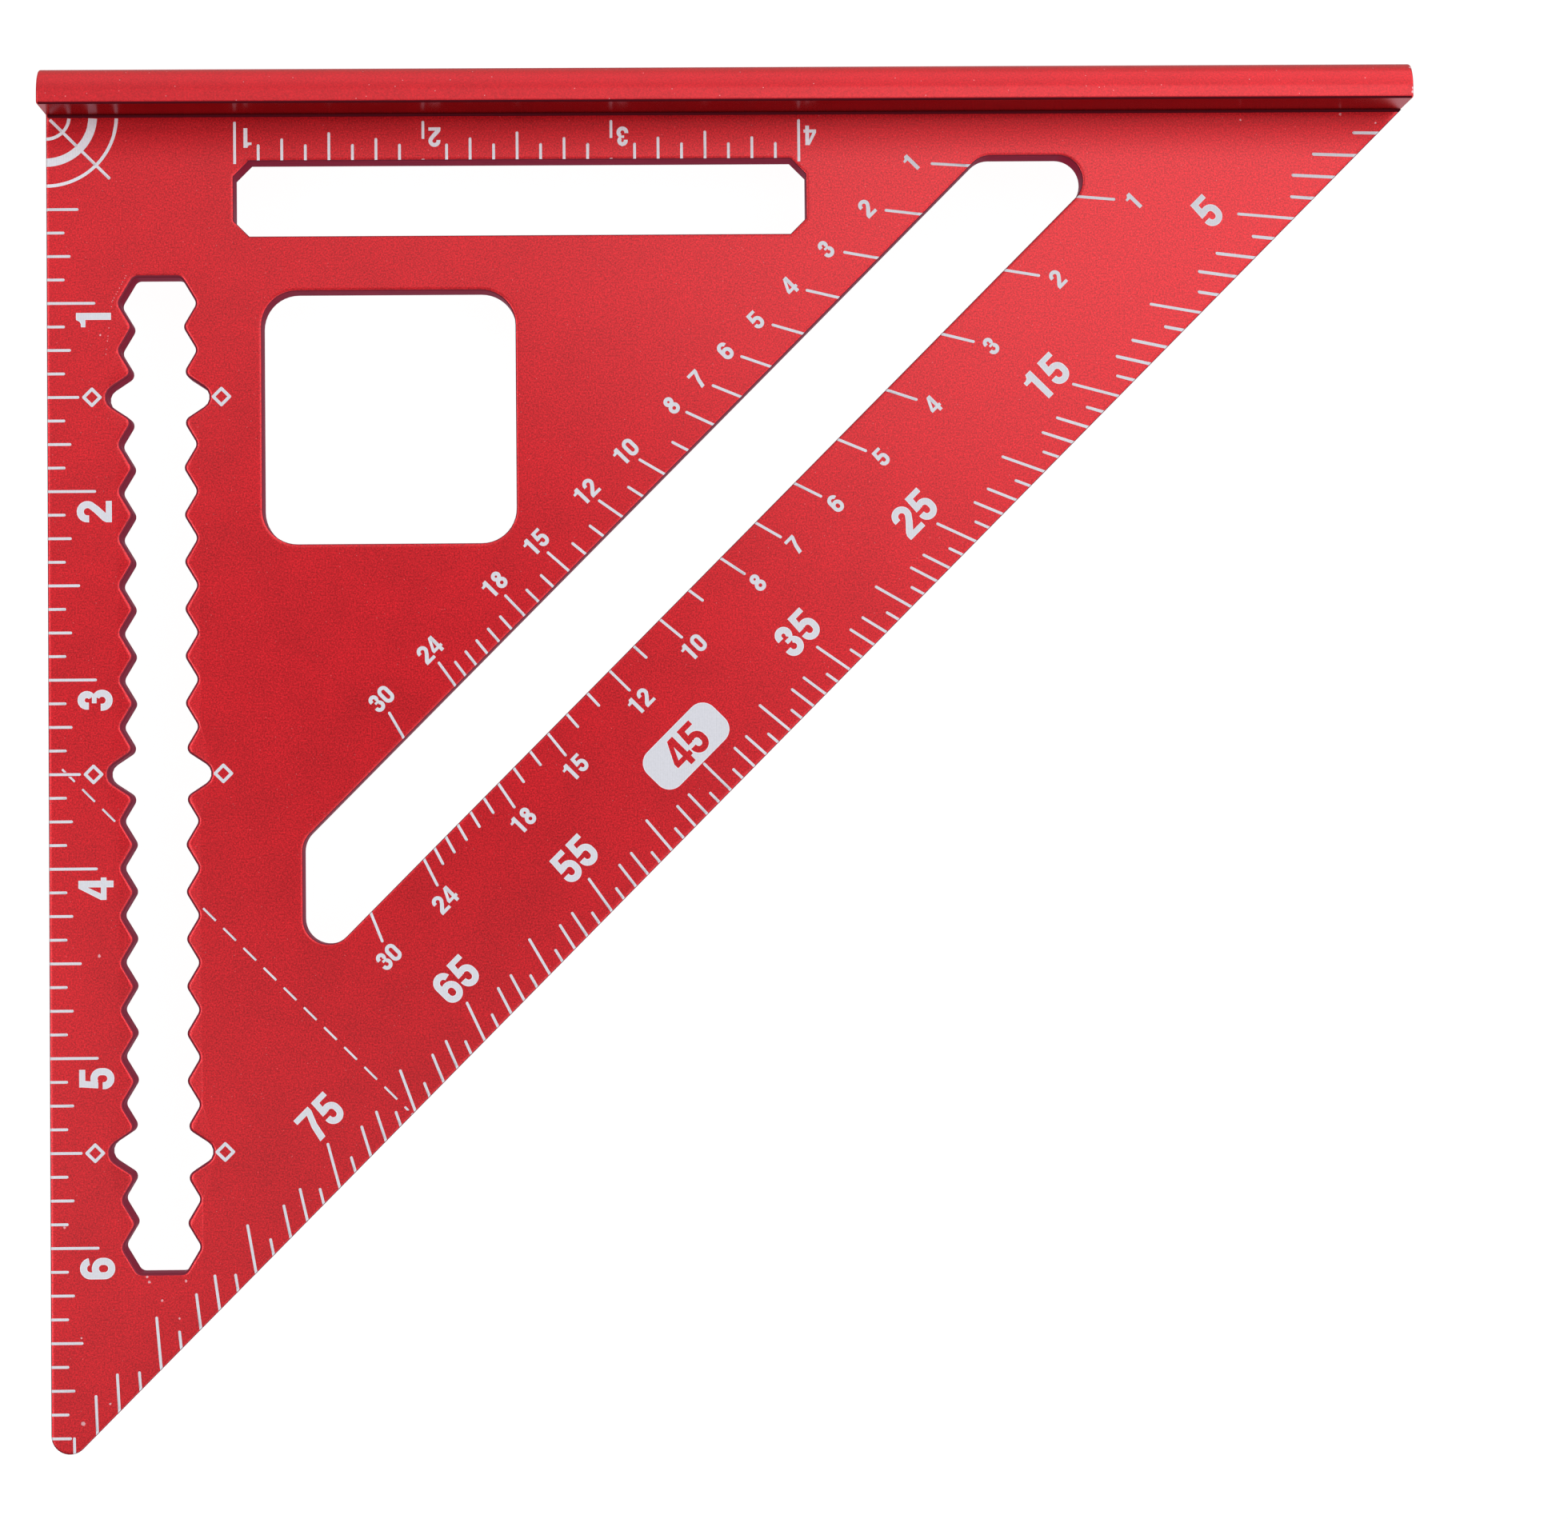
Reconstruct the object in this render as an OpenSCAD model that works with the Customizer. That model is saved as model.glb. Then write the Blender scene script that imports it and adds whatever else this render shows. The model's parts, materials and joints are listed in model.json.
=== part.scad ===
// Rafter square: a triangular blade and a fence that stands proud of both its faces,
// with etched scales on the face that looks along +Z.
// +X runs along the fence, +Y points from the blade to the fence, +Z out of the marked face.
// Origin: the pivot corner, where the graduated edge meets the fence, at half the blade's thickness.

/* [Blade] */
// length of each straight side of the triangle, from the pivot corner
leg = 183.5; // [182:0.5:188]
// thickness of the triangular plate
blade_t = 4.8; // [4:0.1:6]
// radius that rounds the tip
tip_r = 2.5; // [2:0.1:3]

/* [Fence] */
// height of the fence over both flanges
fence_h = 22.2; // [18:0.1:26]
// thickness of the fence
fence_t = 5.1; // [4.4:0.1:6]
// radius of the two outer long edges
fence_outer_r = 3.5; // [2:0.1:3.8]
// radius of the two inner long edges
fence_inner_r = 0.4; // [0.2:0.1:0.6]
// radius of the inside corners between the fence and the blade
root_r = 0.3; // [0.1:0.05:0.5]

/* [Handle slot by the fence] */
// distance of the slot's left end from the graduated edge
slot_x = 25.2; // [24.6:0.1:26]
// bare face between the slot's right end and the diagonal slot, measured along the fence
slot_bridge = 13.2; // [12.5:0.1:16]
// distance of the slot's upper side from the fence
slot_y = 6.25; // [6.1:0.05:7]
// width of the slot
slot_w = 10.2; // [8:0.1:12]
// size of the slot's sloping corners
slot_cut = 2.1; // [1:0.1:3]

/* [Square window] */
// distance of the window from the graduated edge
window_x = 28.9; // [28:0.1:31]
// distance of the window from the fence
window_y = 23.9; // [22:0.1:26]
// bare face between the window's corner and the diagonal slot, measured square to that slot
window_bridge = 7.75; // [7.4:0.05:10]
// corner radius of the window
window_r = 4.7; // [3:0.1:8]

/* [Notched scribing slot] */
// distance of the slot's middle line from the graduated edge
notch_x = 14.9; // [14.6:0.05:15.1]
// half width at the foot of an ordinary notch, before rounding
notch_valley = 5.25; // [4.8:0.05:5.4]
// half width at the point of a tooth, before rounding
notch_tooth = 3.35; // [2.8:0.05:3.6]
// half width at the foot of a deep notch, before rounding
notch_deep = 8.15; // [7.6:0.05:8.4]
// radius of the tooth points and ordinary notches
notch_r = 1; // [0.6:0.05:1.1]
// radius of the deep notches
notch_deep_r = 1.55; // [1.2:0.05:1.6]
// distance from the last notch to the end of the slot
notch_end = 3.5; // [3:0.1:4]

/* [Diagonal slot] */
// width of the band between the slot and the long edge
degree_band = 23.1; // [22.5:0.1:24]
// width of the slot
diag_w = 13.2; // [12:0.1:14]
// distance of the slot's top end from the fence
diag_top = 6; // [5:0.1:6.5]
// distance of the slot's left end from the graduated edge
diag_left = 34.05; // [33:0.05:36]
// corner radius of the slot
diag_r = 3.4; // [2.6:0.1:3.5]

/* [Etched marks] */
// thickness of the etched layer
mark_t = 0.05; // [0.03:0.01:0.2]
// line width of the ticks
tick_w = 0.46; // [0.3:0.02:0.6]
// gap between an etched mark and the edge it runs up to
mark_gap = 0.06; // [0.04:0.01:0.2]
// line width of the dashes
dash_w = 0.28; // [0.2:0.02:0.4]
// length of one dash
dash_len = 2.4; // [1.5:0.1:3]
// distance from one dash to the next
dash_pitch = 3.8; // [3.4:0.1:5]

/* [Tick lengths] */
// inch tick on the graduated edge
edge_inch = 6.6; // [5:0.1:6.8]
// half inch tick on the graduated edge
edge_half = 4.4; // [3:0.1:5]
// quarter inch tick on the graduated edge
edge_quarter = 3.3; // [2:0.1:4]
// eighth inch tick on the graduated edge
edge_eighth = 2.5; // [1.5:0.1:3]
// inch tick on the scale by the fence
fence_inch = 5.4; // [4:0.1:5.6]
// half inch tick on the scale by the fence
fence_half = 3.9; // [3:0.1:5]
// quarter inch tick on the scale by the fence
fence_quarter = 3.1; // [2:0.1:4]
// eighth inch tick on the scale by the fence
fence_eighth = 2.3; // [1.5:0.1:3]
// every fifth degree, measured square to the long edge
degree_long = 5.5; // [4:0.1:5.6]
// second and third degree of each five
degree_mid = 3.9; // [3:0.1:4.5]
// first and fourth degree of each five
degree_short = 2; // [1:0.1:2.5]
// how far the etched degree scale drifts from the long edge at its fence end
degree_drift = 0.6; // [0:0.1:0.8]
// numbered rafter ticks, measured square to the slot
rafter_main = 4.05; // [3:0.05:4.2]
// rafter ticks without a number
rafter_minor = 2.55; // [1.5:0.05:3]

/* [Numerals] */
// height of the numerals on the graduated edge
edge_num_h = 4.7; // [3.6:0.1:4.8]
// height of the numerals by the fence
fence_num_h = 2.65; // [2:0.05:2.8]
// height of the degree numerals
degree_num_h = 4.5; // [3.6:0.1:4.7]
// height of the rafter numerals
rafter_num_h = 2.55; // [2:0.05:2.6]
// margin of the etched plate at each end of the middle degree numeral
plate_end = 3.45; // [2.5:0.05:4]
// margin of that plate above and below the numeral
plate_side = 0.9; // [0.6:0.05:1]
// corner radius of that plate
plate_r = 2.1; // [1:0.1:2.8]

/* [Hidden] */
$fn = 48;
inch = 25.4;
eighths = 8;
step = inch / eighths;
// eighths on the graduated edge: the first, and the bare length kept past the last
edge_first = 4;
edge_bare = 4;
edge_last = floor((leg - edge_bare) / step);
face_z = blade_t / 2;
cut_over = 1;
// the long edge and the diagonal slot lie at this angle
slant = 45;
root2 = norm([1, 1]);
diag = [1, 1] / root2;
// where the lines of the diagonal slot's lower and upper sides cross the fence
common_side = leg - degree_band * root2;
hip_side = common_side - diag_w * root2;
// what the bridges leave for the handle slot's length and the window's side
slot_len = hip_side - slot_y - slot_w - slot_bridge - slot_x;
window_w = (hip_side - window_bridge * root2 - window_x - window_y) / 2;
// eighths on the scale by the fence, which is as long as the handle slot
fence_first = ceil(slot_x / step);
fence_last = floor((slot_x + slot_len) / step);
// notches: one each quarter inch, every eighth one deep, as far as the long edge leaves room
quarter = inch / 4;
notch_first = 4;
notch_room = 5;
notch_last = floor((leg - notch_x - notch_valley - notch_end - notch_room) / quarter);
deep_first = 6;
deep_step = 8;
deep_notches = [for (n = [deep_first : deep_step : notch_last]) n];
arc_steps = 5;
// rafter scales: rise over this run, in inches
common_run = 12;
hip_run = norm([common_run, common_run]);
main_rises = [1, 2, 3, 4, 5, 6, 7, 8, 10, 12, 15, 18, 24, 30];
minor_rises = [9, 11, 13, 14, 16, 17, 19, 20, 21, 22, 23];
// digits, as shares of their height
digit_w = 0.61;
digit_pitch = 0.68;
stroke = 0.2;
// where each row of numerals runs, measured square to its edge, past the ticks below it
rafter_num_gap = 0.625;
rafter_num_off = rafter_main + rafter_num_gap + rafter_num_h / 2;
degree_num_gap = 0.8;
degree_num_off = degree_long + degree_num_gap + degree_num_h / 2;
edge_num_gap = 0.65;
edge_num_x = edge_quarter + edge_num_gap + edge_num_h / 2;
// bare width between an inch tick and its numeral
edge_num_side = 1.07;
fence_num_side = 0.51;
fence_num_x = tick_w / 2 + fence_num_side + digit_w * fence_num_h / 2;
// the fence numerals start this much below the top of the inch ticks
fence_num_drop = 0.95;
fence_num_y = slot_y - fence_inch + fence_num_drop + fence_num_h / 2;
fence_end_low = 0.5;
degree_step = 5;
last_degree = 89;
middle_degree = slant;
plate_len = (digit_pitch + digit_w) * degree_num_h + 2 * plate_end;
plate_w = degree_num_h + 2 * plate_side;
// pivot target
target_r = [step, 2 * step, 3 * step];
target_w = [0.5, 1.2, 0.5];
ray_start = 0.9;
root_gap = root_r + mark_gap;
ray_end = 12;
// diamonds by the deep notches, each with its gap to the left or right notch
diamond_side = 1.98;
diamond_w = 0.42;
diamond_left_gap = 0.56;
diamond_right_gap = 0.26;
// dashed line: the degree it meets on the long edge, so where it leaves the graduated edge,
// then where its first dash starts and its whole length
dash_degree = 70.2;
dash_y = leg - 2 * on_diag(dash_degree, leg)[0];
dash_start = 2.6;
dash_run = (leg - dash_y) / root2;
red = [0.72, 0.07, 0.09];
etched = [0.84, 0.85, 0.88];
// thickness the digits are drawn with
$deep = mark_t;

// helpers

function unit_of(v) = v / norm(v);
// a ray of the scales: the angle is measured from the fence towards the graduated edge
function ray(a) = [cos(a), -sin(a)];
// the point on a ray where it meets the slanted line that crosses the fence at s
function on_diag(a, s) = ray(a) * s / (cos(a) + sin(a));
// length along a ray of a tick that is d deep, measured square to a slanted line
function along(a, d) = d / cos(a - slant);
function before(p, i) = p[(i + len(p) - 1) % len(p)];
function after(p, i) = p[(i + 1) % len(p)];
function corner_half(a, b, c) = acos(unit_of(a - b) * unit_of(c - b)) / 2;
function corner_mid(a, b, c, r) =
    b + unit_of(unit_of(a - b) + unit_of(c - b)) * r / sin(corner_half(a, b, c));
function corner_from(a, b, c, r) = b + unit_of(a - b) * r / tan(corner_half(a, b, c));
function heading(v) = atan2(v[1], v[0]);
function turn(a, b) = ((b - a + 540) % 360) - 180;
// points of the arc that rounds corner b between its neighbours a and c
function corner_arc(a, b, c, r) =
    let (m = corner_mid(a, b, c, r))
    let (a0 = heading(corner_from(a, b, c, r) - m))
    let (a1 = heading(corner_from(c, b, a, r) - m))
    [for (k = [0 : arc_steps]) m + r * ray(-a0 - turn(a0, a1) * k / arc_steps)];
function rounded_points(p, r) =
    [for (i = [0 : len(p) - 1]) each corner_arc(before(p, i), p[i], after(p, i), r[i])];

// a convex outline whose corners are true arcs
module rounded_outline(p, r) {
    polygon([for (i = [0 : len(p) - 1])
        for (q = [before(p, i), after(p, i)])
            corner_from(q, p[i], q == before(p, i) ? after(p, i) : before(p, i), r[i])]);
    for (i = [0 : len(p) - 1])
        translate(corner_mid(before(p, i), p[i], after(p, i), r[i]))
            circle(r[i]);
}

module etch() {
    translate([0, 0, face_z])
        linear_extrude(mark_t)
            children();
}

// a tick that starts flush along an edge and ends round:
// p on the edge, u into the face, e along the edge, reach from the edge to the round end
module tick(p, u, e, reach, w) {
    n = [-u[1], u[0]];
    half = w / 2 / abs(n * e);
    side = n * e > 0 ? 1 : -1;
    far = p + u * (reach - w / 2);
    near = p + u * mark_gap / abs([-e[1], e[0]] * u);
    polygon([near - e * half * side, far - n * w / 2, far + n * w / 2, near + e * half * side]);
    translate(far)
        circle(w / 2);
}

module bar(x0, y0, x1, y1, h) {
    translate([x0 * h, y0 * h, 0])
        cube([(x1 - x0) * h, (y1 - y0) * h, $deep]);
}

module patch(p, h) {
    linear_extrude($deep)
        polygon(p * h);
}

module bend(x, y, r, a0, a1, h) {
    translate([x * h, y * h, 0])
        rotate([0, 0, a0])
            rotate_extrude(angle = a1 - a0)
                translate([(r - stroke / 2) * h, 0])
                    square([stroke * h, $deep]);
}

// one digit, its lower left corner at the origin
module digit(d, h) {
    r = (digit_w - stroke) / 2;
    m = digit_w / 2;
    far = digit_w - stroke;
    if (d == 0) {
        bend(m, m, r, 180, 360, h);
        bend(m, 1 - m, r, 0, 180, h);
        bar(0, m, stroke, 1 - m, h);
        bar(far, m, digit_w, 1 - m, h);
    }
    if (d == 1) {
        bar(0.24, 0, 0.44, 1, h);
        patch([[0.03, 0.73], [0.25, 0.73], [0.25, 1], [0.24, 1], [0.19, 0.9], [0.12, 0.86], [0.03, 0.86]], h);
    }
    if (d == 2) {
        bend(m, 1 - m, r, -34, 180, h);
        bar(0, 0.65, stroke, 1 - m, h);
        bar(0, 0, digit_w, 0.17, h);
        patch([
            [0.579, 0.561], [0.45, 0.38], [0.25, 0.16], [0, 0.16],
            [0.05, 0.26], [0.3, 0.52], [0.399, 0.649]], h);
    }
    if (d == 3) {
        bend(m, 0.735, 0.165, -58, 180, h);
        bar(m - 0.265, 0.68, m - 0.065, 0.735, h);
        bend(m, 0.3, 0.2, -180, 62, h);
        bar(0.005, 0.3, 0.205, 0.34, h);
        bar(0.22, 0.46, 0.42, 0.59, h);
    }
    if (d == 4) {
        bar(0.36, 0, 0.55, 1, h);
        bar(0, 0.2, 0.64, 0.36, h);
        patch([[0, 0.34], [0.17, 0.34], [0.37, 0.76], [0.37, 1], [0.33, 1], [0, 0.36]], h);
    }
    if (d == 5) {
        bar(0.06, 0.83, 0.56, 1, h);
        patch([[0.03, 0.46], [0.21, 0.46], [0.25, 0.9], [0.06, 0.9]], h);
        bend(m, 0.3, 0.2, 180, 360, h);
        bend(m, 0.38, 0.2, 0, 128, h);
        bar(m + 0.1, 0.3, m + 0.3, 0.38, h);
        bar(0.005, 0.3, 0.205, 0.33, h);
    }
    if (d == 6) {
        bend(m, m, r, 180, 360, h);
        bend(m, 0.36, r, 0, 150, h);
        bend(m, 1 - m, r, 12, 180, h);
        bar(0, m, stroke, 1 - m, h);
        bar(far, m, digit_w, 0.36, h);
    }
    if (d == 7) {
        bar(0, 0.83, 0.6, 1, h);
        patch([[0.4, 0.84], [0.6, 0.84], [0.44, 0.46], [0.345, 0], [0.135, 0], [0.24, 0.46]], h);
    }
    if (d == 8) {
        bend(m, 0.735, 0.165, 0, 360, h);
        bend(m, 0.3, 0.2, 0, 360, h);
    }
}

// where a digit ends on its right, as a share of its height
function digit_end(d) = d == 1 ? 0.44 : digit_w;

// a list of digits, centred on the origin of its own frame
module numeral(ds, h) {
    full = (len(ds) - 1) * digit_pitch + digit_w;
    for (i = [0 : len(ds) - 1])
        translate([(i * digit_pitch - full / 2) * h, -h / 2, 0])
            digit(ds[i], h);
}

module put(p, a) {
    translate([p[0], p[1], face_z])
        rotate([0, 0, a])
            children();
}

function digits_of(n) = n < 10 ? [n] : [floor(n / 10), n % 10];

// outlines of the blade and its openings

tip = [0, -leg];

// the whole triangle, up to the fence
module blade_outline() {
    p = [[0, 0], tip, [leg, 0]];
    polygon([p[0], corner_from(p[0], tip, p[2], tip_r), corner_from(p[2], tip, p[0], tip_r), p[2]]);
    translate(corner_mid(p[0], tip, p[2], tip_r))
        circle(tip_r);
}

module handle_slot() {
    x1 = slot_x + slot_len;
    y0 = -slot_y - slot_w;
    polygon([
        [slot_x + slot_cut, -slot_y],
        [slot_x, -slot_y - slot_cut],
        [slot_x, y0 + slot_cut],
        [slot_x + slot_cut, y0],
        [x1 - slot_cut, y0],
        [x1, y0 + slot_cut],
        [x1, -slot_y - slot_cut],
        [x1 - slot_cut, -slot_y]]);
}

module square_window() {
    rounded_outline([
        [window_x, -window_y],
        [window_x, -window_y - window_w],
        [window_x + window_w, -window_y - window_w],
        [window_x + window_w, -window_y]],
        [window_r, window_r, window_r, window_r]);
}

module diagonal_slot() {
    rounded_outline([
        [diag_left, diag_left - hip_side],
        [diag_left, diag_left - common_side],
        [common_side - diag_top, -diag_top],
        [hip_side - diag_top, -diag_top]],
        [diag_r, diag_r, diag_r, diag_r]);
}

function is_deep(n) = len([for (d = deep_notches) if (d == n) d]) > 0;
// half width and radius at each quarter inch, then at the tooth between it and the next
function notch_half(k) = k % 2 == 1 ? notch_tooth : is_deep(k / 2) ? notch_deep : notch_valley;
function notch_round(k) = k % 2 == 0 && is_deep(k / 2) ? notch_deep_r : notch_r;

module notched_slot() {
    ks = [for (k = [2 * notch_first : 2 * notch_last]) k];
    end_half = notch_valley - notch_end * (notch_valley - notch_tooth) / (quarter / 2);
    y_top = -notch_first * quarter + notch_end;
    y_low = -notch_last * quarter - notch_end;
    down = [for (k = ks) [notch_x - notch_half(k), -k * quarter / 2]];
    up = [for (i = [len(ks) - 1 : -1 : 0]) [notch_x + notch_half(ks[i]), -ks[i] * quarter / 2]];
    down_r = [for (k = ks) notch_round(k)];
    up_r = [for (i = [len(ks) - 1 : -1 : 0]) notch_round(ks[i])];
    polygon(rounded_points(
        concat([[notch_x - end_half, y_top]], down,
            [[notch_x - end_half, y_low], [notch_x + end_half, y_low]], up,
            [[notch_x + end_half, y_top]]),
        concat([notch_r], down_r, [notch_r, notch_r], up_r, [notch_r])));
}

// pieces

// the blade ends where the fence's rounded root starts
module blade() {
    color(red)
        difference() {
            translate([0, 0, -blade_t / 2])
                linear_extrude(blade_t)
                    blade_outline();
            translate([-cut_over, -root_r, -blade_t / 2 - cut_over])
                cube([leg + 2 * cut_over, root_r + cut_over, blade_t + 2 * cut_over]);
            for (k = [0 : 3])
                translate([0, 0, -blade_t / 2 - cut_over])
                    linear_extrude(blade_t + 2 * cut_over) {
                        if (k == 0) handle_slot();
                        if (k == 1) square_window();
                        if (k == 2) diagonal_slot();
                        if (k == 3) notched_slot();
                    }
        }
}

module fence_bar() {
    outer_r = min(fence_outer_r, fence_t - fence_inner_r);
    rotate([90, 0, 90])
        linear_extrude(leg)
            intersection() {
                translate([0, -fence_h / 2])
                    square([fence_t, fence_h]);
                rounded_outline([
                    [0, -fence_h / 2],
                    [fence_t, -fence_h / 2],
                    [fence_t, fence_h / 2],
                    [0, fence_h / 2]],
                    [fence_inner_r, outer_r, outer_r, fence_inner_r]);
            }
}

// the root of the T section: it flares from the blade's thickness into the fence
module fence_root() {
    half = blade_t / 2 + root_r;
    rotate([90, 0, 90])
        linear_extrude(leg)
            difference() {
                translate([-root_r, -half])
                    square([root_r, 2 * half]);
                for (side = [-1, 1])
                    translate([-root_r, side * half])
                        circle(root_r);
            }
}

module fence() {
    color(red) {
        fence_bar();
        intersection() {
            fence_root();
            translate([0, 0, -fence_h / 2])
                linear_extrude(fence_h)
                    blade_outline();
        }
    }
}

module pivot_arcs() {
    color(etched)
        for (i = [0 : len(target_r) - 1])
            translate([0, 0, face_z])
                rotate([0, 0, -90 + asin(mark_gap / target_r[i])])
                    rotate_extrude(angle = 90 - asin(mark_gap / target_r[i]) - asin(root_gap / target_r[i]))
                        translate([target_r[i] - target_w[i] / 2, 0])
                            square([target_w[i], mark_t]);
}

// the ray is broken where it would lie on an arc
module pivot_ray() {
    stops = [for (i = [0 : len(target_r) - 1]) target_r[i] + target_w[i] / 2];
    starts = [for (i = [0 : len(target_r) - 1]) target_r[i] - target_w[i] / 2];
    from = concat([ray_start], stops);
    to = concat(starts, [ray_end]);
    color(etched)
        for (i = [0 : len(from) - 1])
            put([0, 0], -slant)
                translate([from[i] + mark_gap, -tick_w / 2, 0])
                    cube([to[i] - from[i] - 2 * mark_gap, tick_w, mark_t]);
}

// the last tick stops short of the last degree tick, which it meets at the tip
function edge_reach(n) =
    n == edge_last ? edge_last * step * tan(1) - tick_w / 2 - mark_gap :
    n % 8 == 0 ? edge_inch :
    n % 4 == 0 ? edge_half :
    n % 2 == 0 ? edge_quarter : edge_eighth;
function fence_reach(n) =
    n % 8 == 0 ? fence_inch :
    n % 4 == 0 ? fence_half :
    n % 2 == 0 ? fence_quarter : fence_eighth;

module edge_tick(n) {
    etch()
        tick([0, -n * step], [1, 0], [0, 1], edge_reach(n), tick_w);
}

module edge_inch_ticks() {
    color(etched)
        for (n = [edge_first : edge_last])
            if (n % eighths == 0) edge_tick(n);
}

module edge_fraction_ticks() {
    color(etched)
        for (n = [edge_first : edge_last])
            if (n % eighths != 0) edge_tick(n);
}

// from an inch tick to the middle of its numeral
function edge_num_low(n) = tick_w / 2 + edge_num_side + (digit_end(n) - digit_w / 2) * edge_num_h;

module edge_numerals() {
    color(etched)
        for (n = [1 : floor(edge_last / eighths) - 1])
            put([edge_num_x, -n * inch - edge_num_low(n)], 90)
                numeral([n], edge_num_h);
}

// how far the face reaches below the slot's upper side, beside one of its sloping corners
function corner_drop(x) = max(0, slot_cut - min(x - slot_x, slot_x + slot_len - x) - tick_w);

// a tick beside a sloping corner runs a little lower
module fence_tick(n) {
    low = min(fence_end_low, corner_drop(n * step));
    etch()
        tick([n * step, -slot_y - low], [0, 1], [1, 0], fence_reach(n) + low, tick_w);
}

module fence_inch_ticks() {
    color(etched)
        for (n = [fence_first : fence_last])
            if (n % eighths == 0) fence_tick(n);
}

module fence_fraction_ticks() {
    color(etched)
        for (n = [fence_first : fence_last])
            if (n % eighths != 0) fence_tick(n);
}

module fence_numerals() {
    color(etched)
        for (n = [ceil(fence_first / eighths) : floor(fence_last / eighths)])
            put([n * inch + fence_num_x, -fence_num_y], 180)
                numeral([n], fence_num_h);
}

function drift(n) = n < middle_degree ? degree_drift * pow((middle_degree - n) / middle_degree, 2) : 0;
// the middle tick stops at the plate
function degree_deep(n) = drift(n) + (
    n == middle_degree ? degree_num_off - plate_w / 2 - mark_gap :
    n % degree_step == 0 ? degree_long :
    (n % degree_step == 2 || n % degree_step == 3) ? degree_mid : degree_short);

// the last tick ends on the rounded tip, so the outline trims it
module degree_tick(n) {
    etch()
        intersection() {
            tick(on_diag(n, leg), -ray(n), diag, along(n, degree_deep(n)), tick_w);
            if (n == last_degree) blade_outline();
            if (n < last_degree) square(2 * leg, center = true);
        }
}

module degree_five_ticks() {
    color(etched)
        for (n = [1 : last_degree])
            if (n % degree_step == 0) degree_tick(n);
}

module degree_unit_ticks() {
    color(etched)
        for (n = [1 : last_degree])
            if (n % degree_step != 0) degree_tick(n);
}

function degree_place(n) = on_diag(n, leg - (degree_num_off + drift(n)) * root2);

module degree_numerals() {
    color(etched)
        for (n = [degree_step : 2 * degree_step : last_degree - 2 * degree_step])
            if (n != middle_degree)
                put(degree_place(n), slant)
                    numeral(digits_of(n), degree_num_h);
}

// the middle numeral is left bare in an etched plate
module degree_45_plate() {
    x = plate_len / 2;
    y = plate_w / 2;
    color(etched)
        difference() {
            put(degree_place(middle_degree), slant)
                linear_extrude(mark_t)
                    rounded_outline(
                        [[-x, -y], [x, -y], [x, y], [-x, y]],
                        [plate_r, plate_r, plate_r, plate_r]);
            translate([0, 0, -mark_t])
                put(degree_place(middle_degree), slant)
                    numeral(digits_of(middle_degree), degree_num_h, $deep = 3 * mark_t);
        }
}

module hip_tick(n, deep) {
    a = atan(n / hip_run);
    etch()
        tick(on_diag(a, hip_side), -ray(a), diag, along(a, deep), tick_w);
}

module common_tick(n, deep) {
    a = atan(n / common_run);
    etch()
        tick(on_diag(a, common_side), ray(a), diag, along(a, deep), tick_w);
}

module hip_main_ticks() {
    color(etched)
        for (n = main_rises) hip_tick(n, rafter_main);
}

module hip_minor_ticks() {
    color(etched)
        for (n = minor_rises) hip_tick(n, rafter_minor);
}

module hip_numerals() {
    color(etched)
        for (n = main_rises)
            put(on_diag(atan(n / hip_run), hip_side - rafter_num_off * root2), slant)
                numeral(digits_of(n), rafter_num_h);
}

module common_main_ticks() {
    color(etched)
        for (n = main_rises) common_tick(n, rafter_main);
}

module common_minor_ticks() {
    color(etched)
        for (n = minor_rises) common_tick(n, rafter_minor);
}

module common_numerals() {
    color(etched)
        for (n = main_rises)
            put(on_diag(atan(n / common_run), common_side + rafter_num_off * root2), slant)
                numeral(digits_of(n), rafter_num_h);
}

// how far the rounded foot of a deep notch lies from the slot's middle line
function deep_reach() =
    let (side = [notch_tooth, quarter / 2])
    let (foot = [notch_deep, 0])
    corner_mid(side, foot, [side[0], -side[1]], notch_deep_r)[0] + notch_deep_r;

module notch_diamonds() {
    inner = diamond_side - 2 * diamond_w;
    off = deep_reach() + diamond_side / root2;
    color(etched)
        for (n = deep_notches)
            for (x = [notch_x - off - diamond_left_gap, notch_x + off + diamond_right_gap])
                put([x, -n * quarter], slant)
                    linear_extrude(mark_t)
                        difference() {
                            square(diamond_side, center = true);
                            square(inner, center = true);
                        }
}

// a dash is left out where the notched slot is, and broken where an edge tick crosses it
module top_cut_dashes() {
    color(etched)
        difference() {
            for (s = [dash_start : dash_pitch : dash_run - dash_w]) {
                end = min(s + dash_len, dash_run - mark_gap);
                left = end / root2 < notch_x - notch_valley - mark_gap;
                right = s / root2 > notch_x + notch_valley + mark_gap;
                if (left || right)
                    put([0, -dash_y], -slant)
                        translate([s, -dash_w / 2, 0])
                            cube([end - s, dash_w, mark_t]);
            }
            for (n = [edge_first : edge_last])
                translate([-mark_gap, -n * step - tick_w / 2 - mark_gap, face_z - mark_t])
                    cube([edge_reach(n) + 2 * mark_gap, tick_w + 2 * mark_gap, 3 * mark_t]);
        }
}

blade();
fence();
pivot_arcs();
pivot_ray();
edge_inch_ticks();
edge_fraction_ticks();
edge_numerals();
fence_inch_ticks();
fence_fraction_ticks();
fence_numerals();
degree_five_ticks();
degree_unit_ticks();
degree_numerals();
degree_45_plate();
hip_main_ticks();
hip_minor_ticks();
hip_numerals();
common_main_ticks();
common_minor_ticks();
common_numerals();
notch_diamonds();
top_cut_dashes();
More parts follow.
